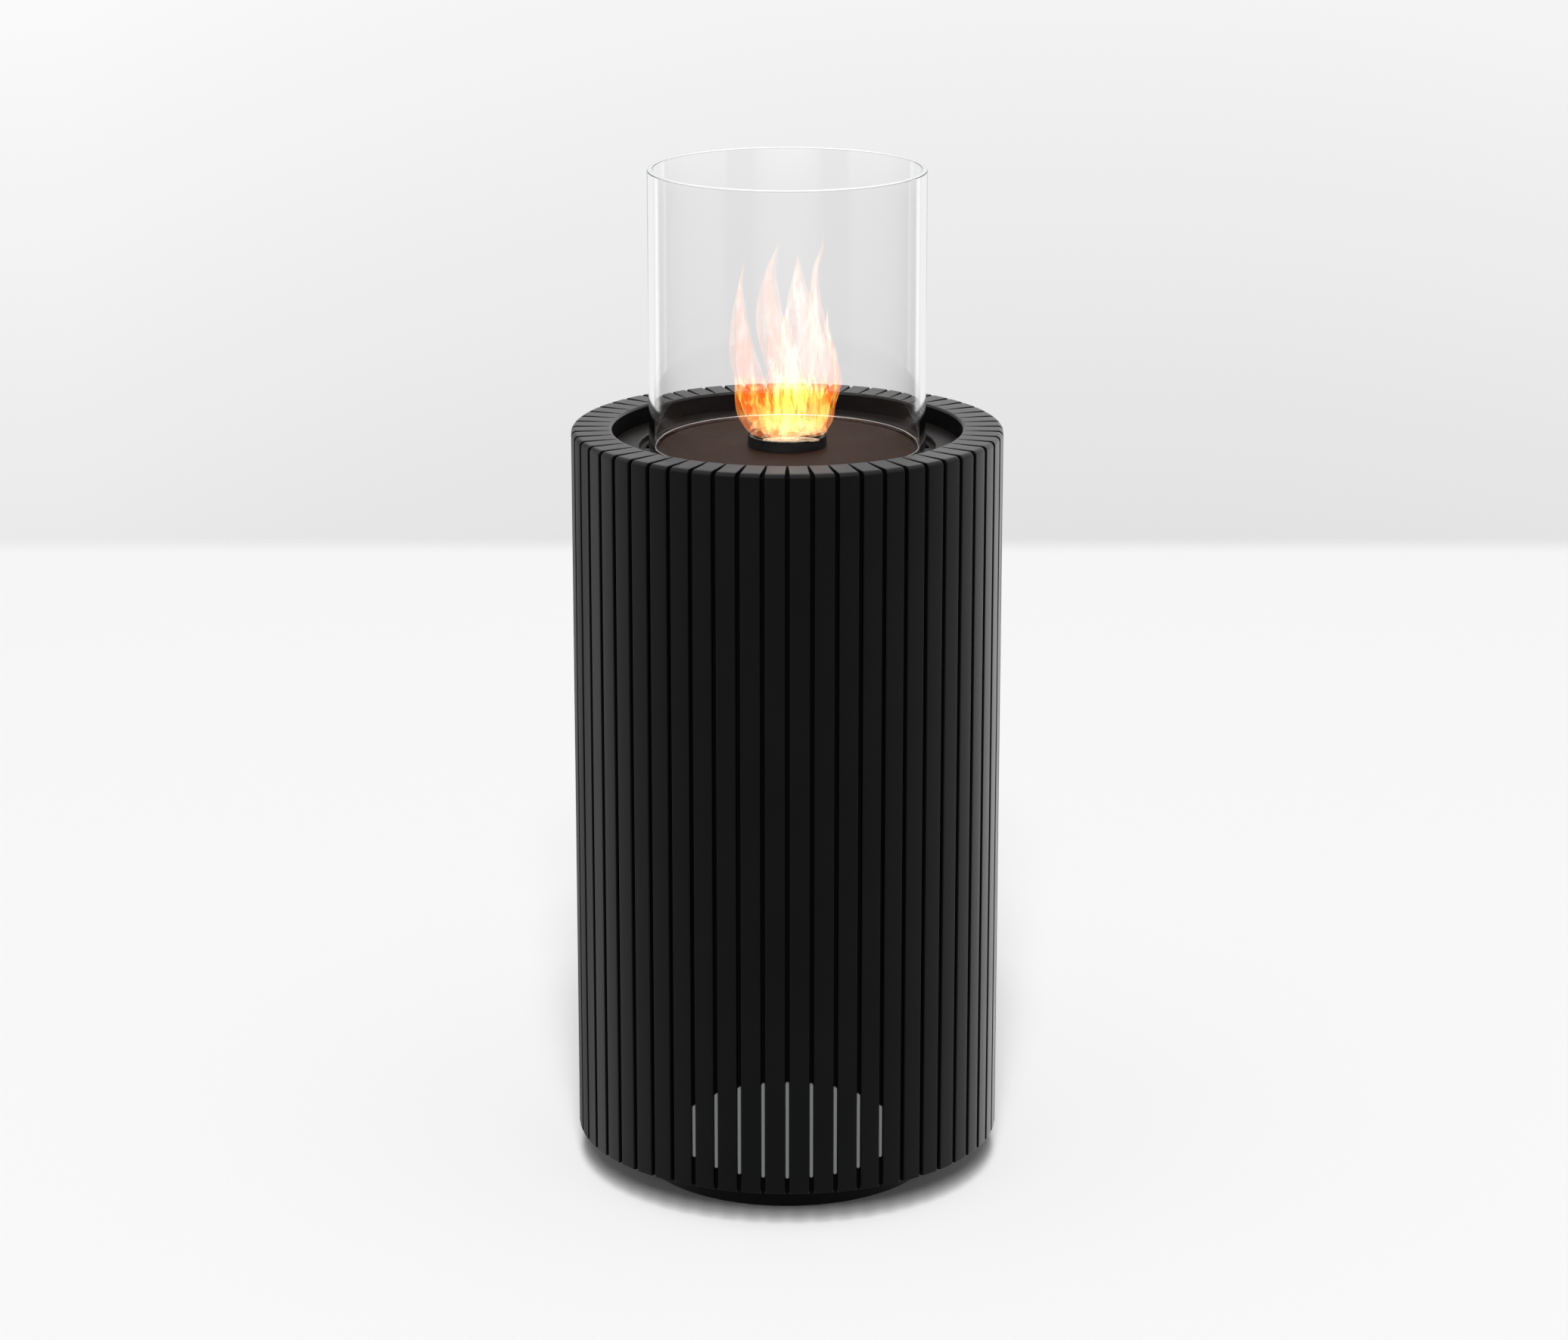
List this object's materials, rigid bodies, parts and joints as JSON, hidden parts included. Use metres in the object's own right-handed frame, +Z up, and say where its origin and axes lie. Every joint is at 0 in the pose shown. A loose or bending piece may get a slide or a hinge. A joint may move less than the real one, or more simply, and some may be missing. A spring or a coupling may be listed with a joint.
{
  "type": "bioethanol column fireplace",
  "caption": "Round ribbed black column with a sunken burner under a clear glass cylinder, slotted air inlet at the foot and a recessed plinth on levelling feet.",
  "frame": {"origin": "on the floor under the column's axis", "axes": "+Z up along the column's axis, -Y towards the front with the air-inlet slots, +X to the viewer's right"},
  "size_m": [0.3998, 0.3998, 0.958],
  "materials": {
    "satin_black": "satin black powder coat on a casting",
    "base_black": "matte black powder coat on steel",
    "heat_black": "matte heat-resistant black on pressed steel",
    "bright_steel": "satin stainless and zinc-plated steel",
    "zinc": "satin woven steel wire mesh",
    "clear_glass": "clear borosilicate glass with polished ends",
    "black_rubber": "matte black silicone rubber",
    "ceramic_wool": "matte absorbent ceramic fibre"
  },
  "bodies": {
    "column": {"ribbed_shell": "satin_black", "vent_mesh": "zinc", "mesh_screw_1": "bright_steel", "mesh_screw_2": "bright_steel", "mesh_screw_3": "bright_steel", "mesh_screw_4": "bright_steel", "base_plate": "base_black", "base_screw_1": "bright_steel", "base_screw_2": "bright_steel", "base_screw_3": "bright_steel", "base_screw_4": "bright_steel", "plinth_ring": "base_black", "plinth_bolt_1": "bright_steel", "plinth_bolt_2": "bright_steel", "plinth_bolt_3": "bright_steel", "plinth_bolt_4": "bright_steel", "foot_nut_1": "bright_steel", "foot_nut_2": "bright_steel", "foot_nut_3": "bright_steel", "foot_nut_4": "bright_steel", "burner_tray": "heat_black", "tray_nut_1": "bright_steel", "tray_nut_2": "bright_steel", "tray_nut_3": "bright_steel", "tray_nut_4": "bright_steel", "glass_pad_1": "black_rubber", "glass_pad_2": "black_rubber", "glass_pad_3": "black_rubber", "glass_pad_4": "black_rubber", "glass_guide_ring": "bright_steel"},
    "glass": {"glass_cylinder": "clear_glass"},
    "plate": {"burner_plate": "heat_black"},
    "burner": {"burner_collar": "heat_black", "burner_can": "bright_steel", "wick_wool": "ceramic_wool", "burner_grid": "bright_steel"},
    "foot_1": {"foot_pad_1": "black_rubber", "foot_stud_1": "bright_steel"},
    "foot_2": {"foot_pad_2": "black_rubber", "foot_stud_2": "bright_steel"},
    "foot_3": {"foot_pad_3": "black_rubber", "foot_stud_3": "bright_steel"},
    "foot_4": {"foot_pad_4": "black_rubber", "foot_stud_4": "bright_steel"}
  },
  "joints": [
    {"name": "glass_lift", "type": "slide", "parent": "column", "child": "glass", "axis": [0, 0, 1], "range_m": [0, 0.28]},
    {"name": "plate_lift", "type": "slide", "parent": "column", "child": "plate", "axis": [0, 0, 1], "range_m": [0, 0.36]},
    {"name": "burner_lift", "type": "slide", "parent": "plate", "child": "burner", "axis": [0, 0, 1], "range_m": [0, 0.36]},
    {"name": "foot_1_level", "type": "slide", "parent": "column", "child": "foot_1", "axis": [0, 0, -1], "range_m": [0, 0.01]},
    {"name": "foot_2_level", "type": "slide", "parent": "column", "child": "foot_2", "axis": [0, 0, -1], "range_m": [0, 0.01]},
    {"name": "foot_3_level", "type": "slide", "parent": "column", "child": "foot_3", "axis": [0, 0, -1], "range_m": [0, 0.01]},
    {"name": "foot_4_level", "type": "slide", "parent": "column", "child": "foot_4", "axis": [0, 0, -1], "range_m": [0, 0.01]}
  ]
}
